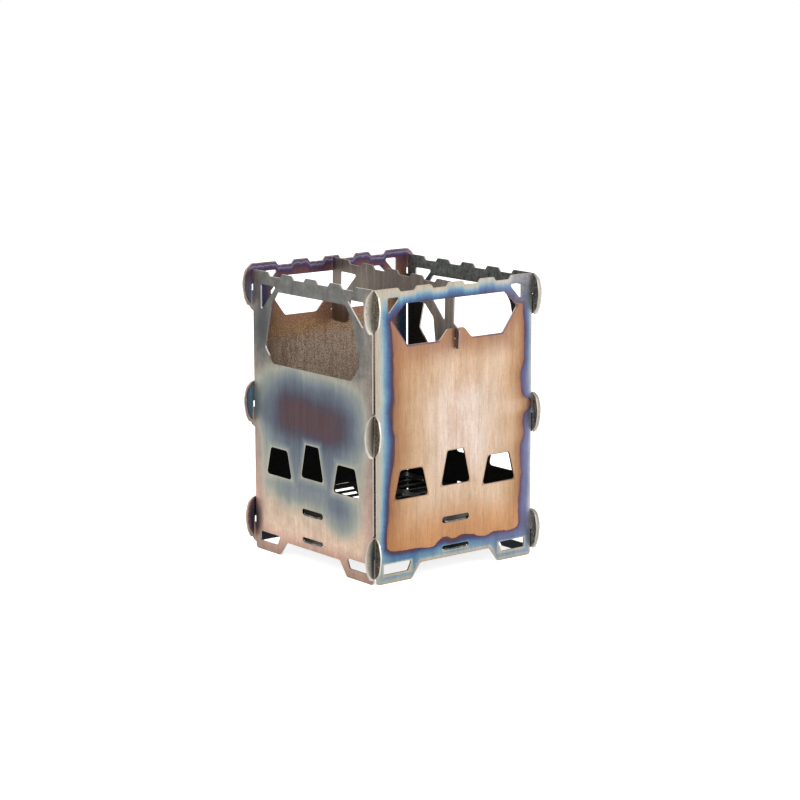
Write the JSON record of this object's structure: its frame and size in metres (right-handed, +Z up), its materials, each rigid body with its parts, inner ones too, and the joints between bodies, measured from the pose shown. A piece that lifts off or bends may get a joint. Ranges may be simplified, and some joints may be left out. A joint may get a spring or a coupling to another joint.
{
  "type": "backpacking wood stove",
  "caption": "Flat-pack wood stove: interlocking slotted sheet panels with a toothed rim, windows, air vents, a tall rear arch and feet, a hooked pot divider, a slotted fire grate and an ash plate.",
  "frame": {"origin": "centre of the footprint, on the surface the feet stand on", "axes": "+Z up, -Y out through the front panel, +X towards the right panel"},
  "size_m": [0.1066, 0.1042, 0.1398],
  "materials": {
    "panel_sheet": "brushed titanium sheet, heat tinted from tan to violet, blue and straw",
    "inner_sheet": "brushed titanium sheet, dulled and browned by fire"
  },
  "bodies": {
    "stove_body": {"front_panel": "panel_sheet", "left_panel": "panel_sheet", "right_panel": "panel_sheet", "fire_grate": "inner_sheet", "ash_plate": "inner_sheet"},
    "rear_wall": {"rear_panel": "panel_sheet"},
    "divider": {"pot_divider": "inner_sheet"}
  },
  "joints": [
    {"name": "rear_panel_seat", "type": "slide", "parent": "stove_body", "child": "rear_wall", "axis": [0, 0, -1], "range_m": [0, 0.0028]},
    {"name": "divider_lift", "type": "slide", "parent": "stove_body", "child": "divider", "axis": [0, 0, 1], "range_m": [0, 0.0097]}
  ]
}
